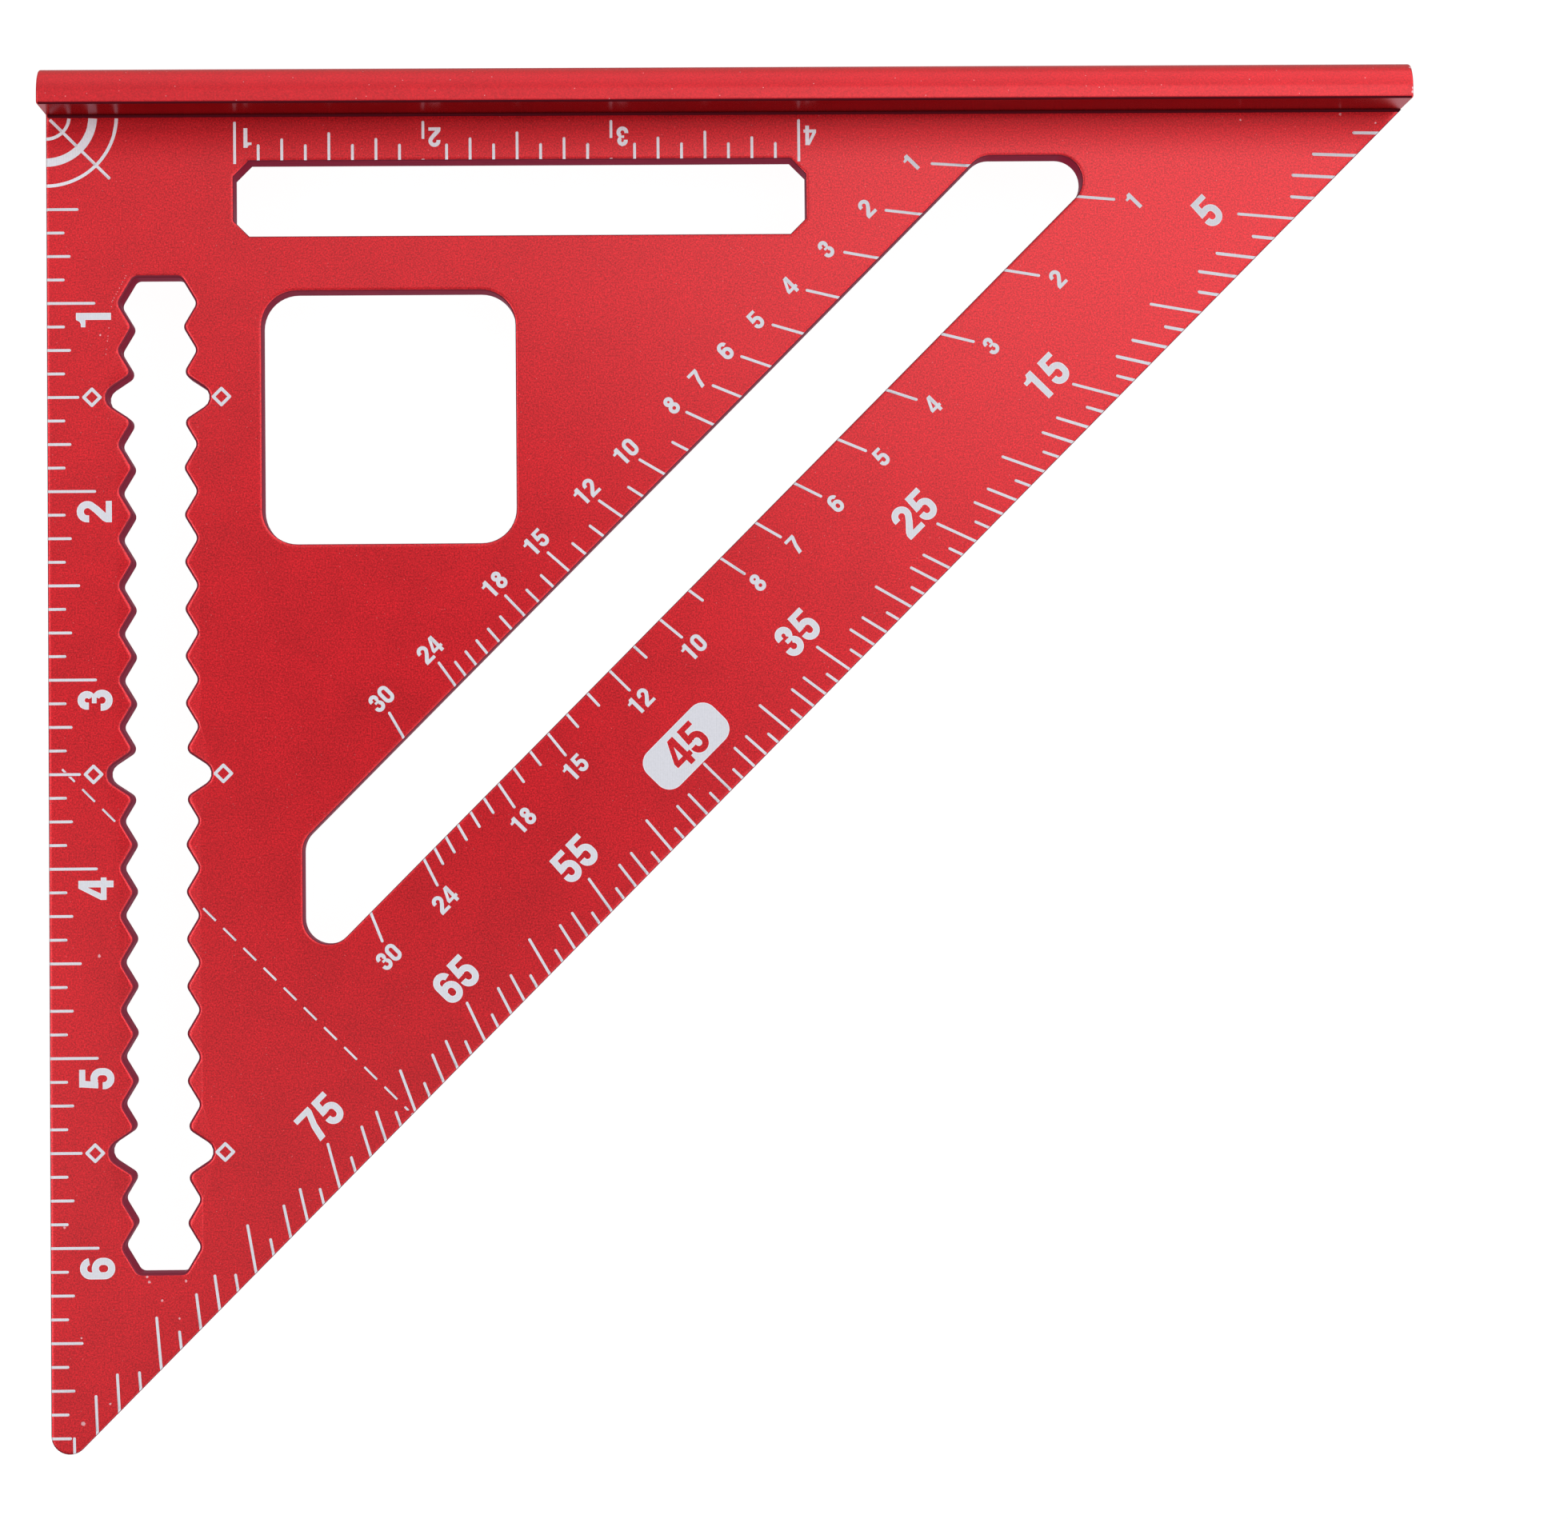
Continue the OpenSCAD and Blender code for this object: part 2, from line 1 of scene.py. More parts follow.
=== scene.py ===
# %% [markdown]
# # A rafter square in red anodised aluminium
# A rafter square is a carpenter's triangle. Its flat blade lays out angles, and the bar along
# one leg, the fence, hooks over the edge of a board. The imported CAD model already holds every
# piece at its real size, so nothing here is moved or resized. This lesson dresses the model:
# it takes the sharpness off the edges, gives the metal and its etched scales their finish,
# and photographs the tool from above in a soft white studio.

# %% Load the frame
import json
import math

import bmesh
import bpy
from mathutils import Euler, Matrix, Vector
from mathutils.bvhtree import BVHTree


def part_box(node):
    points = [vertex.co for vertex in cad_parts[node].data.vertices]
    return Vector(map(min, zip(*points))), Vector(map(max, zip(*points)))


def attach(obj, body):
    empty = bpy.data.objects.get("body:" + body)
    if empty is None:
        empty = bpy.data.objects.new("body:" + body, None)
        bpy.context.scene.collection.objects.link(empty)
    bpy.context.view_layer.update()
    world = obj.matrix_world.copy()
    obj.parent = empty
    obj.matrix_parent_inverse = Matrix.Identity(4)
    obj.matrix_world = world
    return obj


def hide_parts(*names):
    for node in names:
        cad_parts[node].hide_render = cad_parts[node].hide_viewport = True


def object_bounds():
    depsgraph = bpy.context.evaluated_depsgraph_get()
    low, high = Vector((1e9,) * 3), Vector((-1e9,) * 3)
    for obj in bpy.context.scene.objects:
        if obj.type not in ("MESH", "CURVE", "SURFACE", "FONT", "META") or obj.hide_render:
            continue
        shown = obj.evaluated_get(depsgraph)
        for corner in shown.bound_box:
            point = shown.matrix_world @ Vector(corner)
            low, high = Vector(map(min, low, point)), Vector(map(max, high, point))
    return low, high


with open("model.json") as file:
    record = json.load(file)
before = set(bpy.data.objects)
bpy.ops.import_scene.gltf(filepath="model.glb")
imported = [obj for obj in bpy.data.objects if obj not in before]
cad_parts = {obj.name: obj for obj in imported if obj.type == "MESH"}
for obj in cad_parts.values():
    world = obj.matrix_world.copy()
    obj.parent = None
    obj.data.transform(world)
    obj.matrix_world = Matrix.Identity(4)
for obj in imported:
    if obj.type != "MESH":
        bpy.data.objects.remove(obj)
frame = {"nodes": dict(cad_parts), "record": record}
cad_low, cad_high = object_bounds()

MM = 0.001
nodes = frame["nodes"]
scene = bpy.context.scene
print(f"{len(nodes)} CAD nodes, {(cad_high - cad_low).x / MM:.1f} mm along the fence")

# %% [markdown]
# ## The camera
# The tool carries its own ruler, so the photograph can be measured. A pinhole camera was
# fitted to its inch and degree ticks: its focal length in pixels, the pixel that it looks at,
# its place and its small tilt. Blender wants the same facts as a lens in millimetres and a
# lens shift, so the script works those out instead of hiding them in a pair of odd numbers.

# %% Camera at the photograph's view
PHOTO_WIDTH = 1960
PHOTO_HEIGHT = 1899
FOCAL_PIXELS = 4786.1
LOOKED_AT_PIXEL = Vector((895.3, 928.1))
CAMERA_PLACE = Vector((79.66, -97.24, 518.4)) * MM
CAMERA_TILT_DEGREES = (-1.332, 1.122, 0.443)
SENSOR_MM = 36.0
NEAREST_SEEN = 0.01
FARTHEST_SEEN = 50.0

camera_data = bpy.data.cameras.new("overhead_camera")
camera_data.sensor_fit = "HORIZONTAL"
camera_data.sensor_width = SENSOR_MM
camera_data.lens = FOCAL_PIXELS / PHOTO_WIDTH * SENSOR_MM
camera_data.shift_x = (PHOTO_WIDTH / 2 - LOOKED_AT_PIXEL.x) / PHOTO_WIDTH
camera_data.shift_y = (LOOKED_AT_PIXEL.y - PHOTO_HEIGHT / 2) / PHOTO_WIDTH
camera_data.clip_start = NEAREST_SEEN
camera_data.clip_end = FARTHEST_SEEN
camera = bpy.data.objects.new("overhead_camera", camera_data)
tilt = Euler([math.radians(a) for a in CAMERA_TILT_DEGREES], "XYZ").to_matrix()
camera.matrix_world = Matrix.Translation(CAMERA_PLACE) @ tilt.transposed().to_4x4()
scene.collection.objects.link(camera)
scene.camera = camera
scene.view_settings.view_transform = "Standard"
print(f"lens {camera_data.lens:.2f} mm, shift {camera_data.shift_x:.4f}, {camera_data.shift_y:.4f}")

# %% [markdown]
# ## Helpers for shader nodes
# Every finish below is a small network of nodes. A few helpers keep those networks readable:
# they add a node with its settings, join two sockets, do arithmetic, blend colours and draw
# noise. The last one makes a node group, which is a shared effect with named inputs and
# outputs that several materials can use.

# %% Node helpers
def add_node(tree, kind, **settings):
    """Adds a node and sets its properties."""
    node = tree.nodes.new(kind)
    for name, value in settings.items():
        setattr(node, name, value)
    return node


def join(tree, source, target):
    tree.links.new(source, target)


def arithmetic(tree, operation, first, second):
    """A Math node; each operand is a number or a socket. Returns the result's socket."""
    node = add_node(tree, "ShaderNodeMath", operation=operation)
    for place, operand in enumerate((first, second)):
        if isinstance(operand, (int, float)):
            node.inputs[place].default_value = operand
        else:
            join(tree, operand, node.inputs[place])
    return node.outputs[0]


def ramp_between(tree, value, low, high, to_low=0.0, to_high=1.0):
    """A Map Range node with soft ends. Returns the result's socket."""
    node = add_node(tree, "ShaderNodeMapRange", interpolation_type="SMOOTHSTEP", clamp=True)
    join(tree, value, node.inputs["Value"])
    limits = {"From Min": low, "From Max": high, "To Min": to_low, "To Max": to_high}
    for name, number in limits.items():
        node.inputs[name].default_value = number
    return node.outputs["Result"]


def noise(tree, place, size_mm, detail=2.0, roughness=0.5):
    """A Noise Texture whose features are about size_mm across. Returns its value's socket."""
    node = add_node(tree, "ShaderNodeTexNoise", noise_dimensions="3D")
    node.inputs["Scale"].default_value = 1.0 / (size_mm * MM)
    node.inputs["Detail"].default_value = detail
    node.inputs["Roughness"].default_value = roughness
    join(tree, place, node.inputs["Vector"])
    return node.outputs["Fac"]


def blend_colours(tree, factor, first, second):
    """A Mix node for colours; each colour is a tuple or a socket. Returns the result's socket."""
    node = add_node(tree, "ShaderNodeMix", data_type="RGBA")
    join(tree, factor, node.inputs["Factor"])
    for name, colour in (("A", first), ("B", second)):
        if isinstance(colour, tuple):
            node.inputs[name].default_value = colour
        else:
            join(tree, colour, node.inputs[name])
    return node.outputs["Result"]


def shader_group(name, inputs, outputs):
    """An empty node group with named sockets. Returns its tree, input node and output node."""
    tree = bpy.data.node_groups.new(name, "ShaderNodeTree")
    for socket, kind, default in inputs:
        made = tree.interface.new_socket(socket, in_out="INPUT", socket_type=kind)
        if default is not None:
            made.default_value = default
    for socket, kind in outputs:
        tree.interface.new_socket(socket, in_out="OUTPUT", socket_type=kind)
    return tree, add_node(tree, "NodeGroupInput"), add_node(tree, "NodeGroupOutput")


print("node helpers ready")

# %% [markdown]
# ## Grain of blasted, dyed aluminium
# Before anodising, the metal is blasted to a fine matt skin, and the dye takes a little
# unevenly in it. Close up, the red is full of fine specks, with a very soft cloudiness over
# several millimetres. A few pale dots are painted highlights for the glints of the blasted skin.
# Noise and Voronoi cells on Object coordinates draw them, so they stay on the metal. One group
# serves every red surface.

# %% Group: anodised grain
SPECK_MM = 0.22
CLOUD_MM = 6.0
# painted highlight: pale dots in Voronoi cells stand for glints of the blasted skin
GLINT_CELL_MM = 1.2
GLINT_RIM = (0.03, 0.07)
GLINT_PALE = (0.80, 0.55, 0.58, 1.0)
CLOUD_RANGE = (0.2, 0.8)
BLASTED_ROUGHNESS = (0.38, 0.42)


def swing(tree, value, amount):
    """How far a noise lies from its middle, times an amount. Returns the result's socket."""
    return arithmetic(tree, "MULTIPLY", arithmetic(tree, "SUBTRACT", value, 0.5), amount)


def make_anodised_grain():
    tree, given, result = shader_group(
        "anodised_grain",
        [
            ("Place", "NodeSocketVector", None),
            ("Dye", "NodeSocketColor", (0.6, 0.02, 0.03, 1.0)),
            ("Speckle", "NodeSocketFloat", 0.5),
            ("Cloud", "NodeSocketFloat", 0.2),
            ("Pinpricks", "NodeSocketFloat", 0.5),
        ],
        [
            ("Color", "NodeSocketColor"),
            ("Roughness", "NodeSocketFloat"),
            ("Height", "NodeSocketFloat"),
        ],
    )
    place = given.outputs["Place"]
    speck = noise(tree, place, SPECK_MM, detail=2.0, roughness=0.65)
    cloud = noise(tree, place, CLOUD_MM, detail=3.0)
    speck_part = swing(tree, speck, given.outputs["Speckle"])
    cloud_part = swing(tree, cloud, given.outputs["Cloud"])
    factor = arithmetic(tree, "ADD", arithmetic(tree, "ADD", speck_part, cloud_part), 1.0)
    tint = add_node(tree, "ShaderNodeVectorMath", operation="SCALE")
    join(tree, given.outputs["Dye"], tint.inputs[0])
    join(tree, factor, tint.inputs["Scale"])
    # painted highlight: a pale dot in each cell, one glint
    cells = add_node(tree, "ShaderNodeTexVoronoi", feature="F1")
    cells.inputs["Scale"].default_value = 1.0 / (GLINT_CELL_MM * MM)
    join(tree, place, cells.inputs["Vector"])
    glint = ramp_between(tree, cells.outputs["Distance"], *GLINT_RIM, 1.0, 0.0)
    glint_share = arithmetic(tree, "MULTIPLY", glint, given.outputs["Pinpricks"])
    join(tree, blend_colours(tree, glint_share, tint.outputs[0], GLINT_PALE), result.inputs["Color"])
    roughness = ramp_between(tree, cloud, *CLOUD_RANGE, *BLASTED_ROUGHNESS)
    join(tree, roughness, result.inputs["Roughness"])
    join(tree, speck, result.inputs["Height"])
    return tree


anodised_grain = make_anodised_grain()
print("group", anodised_grain.name, "with", len(anodised_grain.nodes), "nodes")

# %% [markdown]
# ## Setting up a material
# Every material starts from the Principled shader. Object coordinates tell it which point of the
# piece it is on, so a pattern stays on the metal wherever the camera goes. A bump makes a height
# look raised without any new faces.

# %% Material helpers
def new_material(name):
    """A material with its tree, its Principled shader and the socket of its Object coordinates."""
    material = bpy.data.materials.new(name)
    material.use_nodes = True
    tree = material.node_tree
    coordinates = add_node(tree, "ShaderNodeTexCoord")
    return material, tree, tree.nodes["Principled BSDF"], coordinates.outputs["Object"]


def use_group(tree, group, place, **values):
    node = add_node(tree, "ShaderNodeGroup", node_tree=group)
    join(tree, place, node.inputs["Place"])
    for name, value in values.items():
        node.inputs[name].default_value = value
    return node


def bump_into(tree, shader, height, depth_mm, strength):
    bump = add_node(tree, "ShaderNodeBump")
    bump.inputs["Distance"].default_value = depth_mm * MM
    bump.inputs["Strength"].default_value = strength
    join(tree, height, bump.inputs["Height"])
    join(tree, bump.outputs["Normal"], shader.inputs["Normal"])


print("material helpers ready")

# %% [markdown]
# ## Nicks and scratches
# The tool has been handled. A few nicks and a dotted scratch on the marked face, and chips on
# the end of the fence, show bare metal. Each is a small spot round a point of the metal, and a
# fine noise makes its rim ragged. The spots are listed in millimetres, with their radius last.
# The dots of the scratch step along it by the golden ratio, so that they look scattered.

# %% Places of the nicks
FACE_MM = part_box("blade")[1].z / MM
FACE_NICKS = [
    (4.3, -175.8, 0.35), (7.9, -173.2, 0.18), (4.1, -164.4, 0.16), (12.9, -156.3, 0.2),
    (13.2, -157.0, 0.22), (18.1, -156.9, 0.2), (14.9, -159.5, 0.2), (17.2, -161.9, 0.18),
    (1.9, -149.6, 0.2), (6.7, -113.3, 0.25), (7.2, -29.7, 0.15), (161.6, -1.3, 0.16),
    (175.2, -0.6, 0.22), (180.0, -1.8, 0.16),
]
FENCE_CHIPS = [
    (183.4, 4.4, 9.9, 0.4), (183.4, 4.8, 8.9, 0.3),
    (183.4, 0.8, 11.0, 0.3), (183.4, 1.3, 11.1, 0.22),
]
SCRATCH = [(10.7, -21.7), (8.8, -25.2), (7.9, -32.7)]
SCRATCH_DOTS = 9
SCRATCH_DOT_MM = 0.07
GOLDEN = 0.618
RAGGED_MM = 0.2

blade_nicks = [(x, y, FACE_MM, radius) for x, y, radius in FACE_NICKS]
for start, end in zip(SCRATCH, SCRATCH[1:]):
    for dot in range(SCRATCH_DOTS):
        place = Vector((*start, FACE_MM)).lerp(Vector((*end, FACE_MM)), dot * GOLDEN % 1.0)
        blade_nicks.append((*place, SCRATCH_DOT_MM))


def nicks_mask(tree, place, nicks):
    """1 inside each nick and 0 elsewhere."""
    ragged = arithmetic(tree, "ADD", noise(tree, place, RAGGED_MM, detail=1.0), 0.5)
    mask = 0.0
    for x, y, z, radius in nicks:
        away = add_node(tree, "ShaderNodeVectorMath", operation="DISTANCE")
        join(tree, place, away.inputs[0])
        away.inputs[1].default_value = Vector((x, y, z)) * MM
        ragged_away = arithmetic(tree, "MULTIPLY", away.outputs["Value"], ragged)
        inside = ramp_between(tree, ragged_away, 0.5 * radius * MM, radius * MM, 1.0, 0.0)
        mask = arithmetic(tree, "MAXIMUM", inside, mask)
    return mask


print(len(blade_nicks), "nicks on the blade and", len(FENCE_CHIPS), "on the fence")

# %% [markdown]
# ## Red anodised metal
# Dyed anodised aluminium is bare metal under a hard, clear, coloured skin. A metallic
# Principled shader in the dye's colour gives the satin glow, and a thin coat gives the pale
# sheen that washes out the red where the studio light is strongest. What the red surfaces
# share is made by one function, and each finish then adds its own colour, gloss and bump.

# %% Red metal
RED_DYE = (0.60, 0.009, 0.0175, 1.0)
CLOUDINESS = 0.15
COAT = 0.28
COAT_ROUGHNESS = 0.25
COAT_IOR = 2.0


def red_metal(name, speckle, glints, edge_tint):
    """Returns the material, its tree, its shader, its place socket and its grain node."""
    material, tree, shader, place = new_material(name)
    grain = use_group(
        tree,
        anodised_grain,
        place,
        Dye=RED_DYE,
        Speckle=speckle,
        Cloud=CLOUDINESS,
        Pinpricks=glints,
    )
    shader.inputs["Metallic"].default_value = 1.0
    shader.inputs["Specular Tint"].default_value = edge_tint
    shader.inputs["Coat Weight"].default_value = COAT
    shader.inputs["Coat Roughness"].default_value = COAT_ROUGHNESS
    shader.inputs["Coat IOR"].default_value = COAT_IOR
    return material, tree, shader, place, grain


print("red metal under a coat of weight", COAT)

# %% [markdown]
# ## Painted shade beside the fence
# The fence shades a strip of the blade beside it, and that shade is painted in: the strip's
# colour is made deeper and its coat thinner. Two soft ramps along Y mark it: one rises
# towards the fence, and one falls again at the junction.

# %% Painted shade beside the fence
# painted shade: the fence's shade on the blade, put into its colour and its coat
PAINTED_SHADE_MM = (-7.0, -1.7)
JUNCTION_MM = (-2.2, -0.4)
PAINTED_SHADE_DEPTH = 0.2
PAINTED_SHADE_COAT_LOSS = 0.6


def painted_shade_mask(tree, place):
    """1 in the strip of painted shade beside the fence and 0 elsewhere."""
    axes = add_node(tree, "ShaderNodeSeparateXYZ")
    join(tree, place, axes.inputs[0])
    rise = ramp_between(tree, axes.outputs["Y"], PAINTED_SHADE_MM[0] * MM, PAINTED_SHADE_MM[1] * MM)
    fall = ramp_between(tree, axes.outputs["Y"], JUNCTION_MM[0] * MM, JUNCTION_MM[1] * MM, 1.0, 0.0)
    return arithmetic(tree, "MULTIPLY", rise, fall)


def paint_fence_shade(tree, shader, place, colour):
    """Paints the fence's shade on that strip: a darker colour and a thinner coat. Returns the new
    colour's socket.
    """
    mask = painted_shade_mask(tree, place)
    shade = arithmetic(tree, "SUBTRACT", 1.0, arithmetic(tree, "MULTIPLY", mask, PAINTED_SHADE_DEPTH))
    deeper = add_node(tree, "ShaderNodeVectorMath", operation="SCALE")
    join(tree, colour, deeper.inputs[0])
    join(tree, shade, deeper.inputs["Scale"])
    lost_coat = arithmetic(tree, "MULTIPLY", mask, PAINTED_SHADE_COAT_LOSS * COAT)
    join(tree, arithmetic(tree, "SUBTRACT", COAT, lost_coat), shader.inputs["Coat Weight"])
    return deeper.outputs[0]


print("strip from", PAINTED_SHADE_MM[0], "to", JUNCTION_MM[1], "mm")

# %% [markdown]
# ## Blasted red and smoother red
# The blade and the fence were blasted, so they share a broad, soft gloss. The inside of the
# fence was sheltered: it is smoother and mirrors the blade. Where the blasted skin is nicked,
# the colour turns pale and the bump gets a dent.

# %% Materials: blasted red and smoother red
NICK_PALE = (0.78, 0.50, 0.54, 1.0)
NICK_BARENESS = 0.75
NICK_DENT = 8.0
# painted shade: these dark edge tints darken the red's grazing reflections in place of the shaded
# floor beside the tool
BLASTED_EDGE_TINT = (0.35, 0.12, 0.15, 1.0)
SMOOTH_EDGE_TINT = (0.45, 0.3, 0.35, 1.0)
SMOOTH_ROUGHNESS = 0.24
GRAIN_DEPTH_MM = 0.004
GRAIN_BUMP = 0.5


def make_blasted_red(name, nicks, speckle, glints, has_painted_shade):
    material, tree, shader, place, grain = red_metal(name, speckle, glints, BLASTED_EDGE_TINT)
    colour = grain.outputs["Color"]
    # painted shade beside the fence, on the blade only
    if has_painted_shade:
        colour = paint_fence_shade(tree, shader, place, colour)
    nick = arithmetic(tree, "MULTIPLY", nicks_mask(tree, place, nicks), NICK_BARENESS)
    join(tree, blend_colours(tree, nick, colour, NICK_PALE), shader.inputs["Base Color"])
    join(tree, grain.outputs["Roughness"], shader.inputs["Roughness"])
    dent = arithmetic(tree, "MULTIPLY", nick, NICK_DENT)
    height = arithmetic(tree, "SUBTRACT", grain.outputs["Height"], dent)
    bump_into(tree, shader, height, GRAIN_DEPTH_MM, GRAIN_BUMP)
    return material


def make_smooth_red(name, speckle, glints):
    material, tree, shader, _, grain = red_metal(name, speckle, glints, SMOOTH_EDGE_TINT)
    join(tree, grain.outputs["Color"], shader.inputs["Base Color"])
    shader.inputs["Roughness"].default_value = SMOOTH_ROUGHNESS
    bump_into(tree, shader, grain.outputs["Height"], GRAIN_DEPTH_MM, GRAIN_BUMP)
    return material


blade_red = make_blasted_red("blade_red", blade_nicks, speckle=2.0, glints=0.2, has_painted_shade=True)
fence_red = make_blasted_red("fence_red", FENCE_CHIPS, speckle=1.1, glints=0.6, has_painted_shade=False)
smooth_red = make_smooth_red("smooth_red", speckle=0.4, glints=0.2)
print("made", blade_red.name, fence_red.name, "and", smooth_red.name)

# %% [markdown]
# ## The milled walls and the dark edges
# The slots and the window are cut by a milling cutter after the blade is extruded. Their walls
# are red metal too, with fine level lines from the cutter: a noise that is stretched far along
# X and Y and fine in Z draws them. Seen along the wall they turn deep maroon, because their red
# is deeper and their Specular Tint dark: that is painted shade, for the shaded floor under the
# tool which the walls would mirror. The narrow steep edges catch no light, so two plain dark
# materials paint that shade on the rims and the corner at the fence's root.

# %% Materials: milled red, maroon rim and dark root
# painted shade: a deeper red and a dark Specular Tint for the shade that the walls would mirror
WALL_SHADED_RED = (0.42, 0.008, 0.015, 1.0)
WALL_STREAK = (0.56, 0.02, 0.03, 1.0)
WALL_SHADE_TINT = (0.14, 0.32, 0.42, 1.0)
WALL_ROUGHNESS = 0.42
STREAK_RANGE = (0.4, 0.7)
LINE_MM = 0.25
LINE_STRETCH = (0.06, 0.06, 1.0)
LINE_DEPTH_MM = 0.004
LINE_BUMP = 0.3
# painted shade: flat dark colours for the rims and the fence's root, which catch no light
RIM_SHADE_COLOUR = (0.18, 0.024, 0.042, 1.0)
ROOT_SHADE_COLOUR = (0.075, 0.006, 0.011, 1.0)
DARK_EDGE_ROUGHNESS = 0.7


def make_milled_red():
    material, tree, shader, place = new_material("milled_red")
    stretch = add_node(tree, "ShaderNodeMapping")
    stretch.inputs["Scale"].default_value = LINE_STRETCH
    join(tree, place, stretch.inputs["Vector"])
    lines = noise(tree, stretch.outputs["Vector"], LINE_MM, detail=3.0, roughness=0.7)
    colour = blend_colours(tree, ramp_between(tree, lines, *STREAK_RANGE), WALL_SHADED_RED, WALL_STREAK)
    join(tree, colour, shader.inputs["Base Color"])
    shader.inputs["Metallic"].default_value = 1.0
    shader.inputs["Roughness"].default_value = WALL_ROUGHNESS
    shader.inputs["Specular Tint"].default_value = WALL_SHADE_TINT
    bump_into(tree, shader, lines, LINE_DEPTH_MM, LINE_BUMP)
    return material


def make_dark_edge(name, shade_colour):
    material, _, shader, _ = new_material(name)
    shader.inputs["Base Color"].default_value = shade_colour
    shader.inputs["Roughness"].default_value = DARK_EDGE_ROUGHNESS
    shader.inputs["Specular IOR Level"].default_value = 0.0
    return material


milled_red = make_milled_red()
maroon_rim = make_dark_edge("maroon_rim", RIM_SHADE_COLOUR)
dark_root = make_dark_edge("dark_root", ROOT_SHADE_COLOUR)
print("made", milled_red.name, maroon_rim.name, "and", dark_root.name)

# %% [markdown]
# ## The etched finish
# A laser burns the dye away in close parallel strokes and leaves pale bare aluminium. Its
# strokes run along the blade's Y axis about 0.2 mm apart, and wave bands draw them. It then
# follows the outline of a large mark once more, which leaves a slightly brighter border. That
# border has a material of its own. The marks at the fence and the pivot wear it all over: that
# is painted light, a paler copy that makes up for the weaker light beside the fence.

# %% Materials: etched fill and etched border
ETCH_PALE = (0.625, 0.63, 0.685, 1.0)
ETCH_SHADE = (0.55, 0.555, 0.605, 1.0)
BORDER_PALE = (0.74, 0.745, 0.80, 1.0)
PALENESS_RANGE = (0.35, 1.0)
STROKE_PITCH_MM = 0.2
STROKE_WAVER = 1.5
STROKE_DEPTH_MM = 0.01
STROKE_BUMP = 0.3
MOTTLE_MM = 0.3
BURN_METALLIC = 0.2
BURN_ROUGHNESS = 0.6
WAVE_BANDS_PER_UNIT = 20 / (2 * math.pi)


def etched_metal(name, pale, shade):
    material, tree, shader, place = new_material(name)
    strokes = add_node(tree, "ShaderNodeTexWave", wave_type="BANDS", bands_direction="X")
    strokes.inputs["Scale"].default_value = 1.0 / (STROKE_PITCH_MM * MM * WAVE_BANDS_PER_UNIT)
    strokes.inputs["Distortion"].default_value = STROKE_WAVER
    strokes.inputs["Detail"].default_value = 2.0
    strokes.inputs["Detail Scale"].default_value = 2.0
    join(tree, place, strokes.inputs["Vector"])
    mottle = noise(tree, place, MOTTLE_MM, detail=2.0)
    half_strokes = arithmetic(tree, "MULTIPLY", strokes.outputs["Fac"], 0.5)
    mixed = arithmetic(tree, "ADD", half_strokes, mottle)
    paleness = ramp_between(tree, mixed, *PALENESS_RANGE)
    join(tree, blend_colours(tree, paleness, shade, pale), shader.inputs["Base Color"])
    shader.inputs["Metallic"].default_value = BURN_METALLIC
    shader.inputs["Roughness"].default_value = BURN_ROUGHNESS
    bump_into(tree, shader, strokes.outputs["Fac"], STROKE_DEPTH_MM, STROKE_BUMP)
    return material


etched_fill = etched_metal("etched_fill", ETCH_PALE, ETCH_SHADE)
etched_border = etched_metal("etched_border", BORDER_PALE, ETCH_PALE)
print("made", etched_fill.name, "and", etched_border.name)

# %% [markdown]
# ## Copying a CAD piece and handing it over
# The CAD meshes stay as they are. Each new piece starts as a bmesh copy of one CAD node, with
# its loose triangles merged into one skin. When it is done, it becomes an object that is
# smooth where faces meet softly and sharp elsewhere, and a Weighted Normal modifier keeps the
# large flat faces flat.

# %% Piece helpers
MERGE_MM = 0.001
FLAT_MATCH = 0.999
SHARP_DEGREES = 30.0


def merged_copy(node):
    """A bmesh of a CAD node with its loose triangles merged into one skin."""
    bm = bmesh.new()
    bm.from_mesh(nodes[node].data)
    bmesh.ops.remove_doubles(bm, verts=bm.verts, dist=MERGE_MM * MM)
    return bm


def faces_towards(bm, direction):
    return [f for f in bm.faces if f.normal.dot(direction) > FLAT_MATCH]


def finish_piece(bm, name, node, materials):
    """Turns a bmesh into a named piece that stands for a CAD node."""
    bm.normal_update()
    mesh = bpy.data.meshes.new(name)
    bm.to_mesh(mesh)
    bm.free()
    for material in materials:
        mesh.materials.append(material)
    mesh.shade_smooth()
    mesh.set_sharp_from_angle(angle=math.radians(SHARP_DEGREES))
    piece = bpy.data.objects.new(name, mesh)
    scene.collection.objects.link(piece)
    normals = piece.modifiers.new("flat_faces_stay_flat", "WEIGHTED_NORMAL")
    normals.keep_sharp = True
    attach(piece, "root")
    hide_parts(node)
    return piece


print("pieces are sharp where faces meet at more than", SHARP_DEGREES, "degrees")

# %% [markdown]
# ## Softening a sharp rim
# A cutter leaves a sharp corner, and tumbling or blasting then rounds it by a few tenths of a
# millimetre. That thin round edge is what catches the light. A Bevel would have to find its
# way through the long thin triangles of a CAD face, so the rim is made with `inset_region`
# instead: each inset draws one more ring inside the rim, and the ring is then lowered to a
# quarter circle. A seam, where another piece meets this one, has to stay sharp. So it is first
# carried on past its place, and after the rounding it is cut back and closed.

# %% Rim helpers
RING_DISTANCES_MM = (0.0, 0.03, 0.10, 0.25, 0.50)
SEAM_RUN_ON_MM = 1.0


def seam_faces(bm, direction, height):
    """The flat faces that look along direction at that height, where another piece meets them."""
    flat = faces_towards(bm, direction)
    return [f for f in flat if abs(f.calc_center_median().dot(direction) - height) < MERGE_MM * MM]


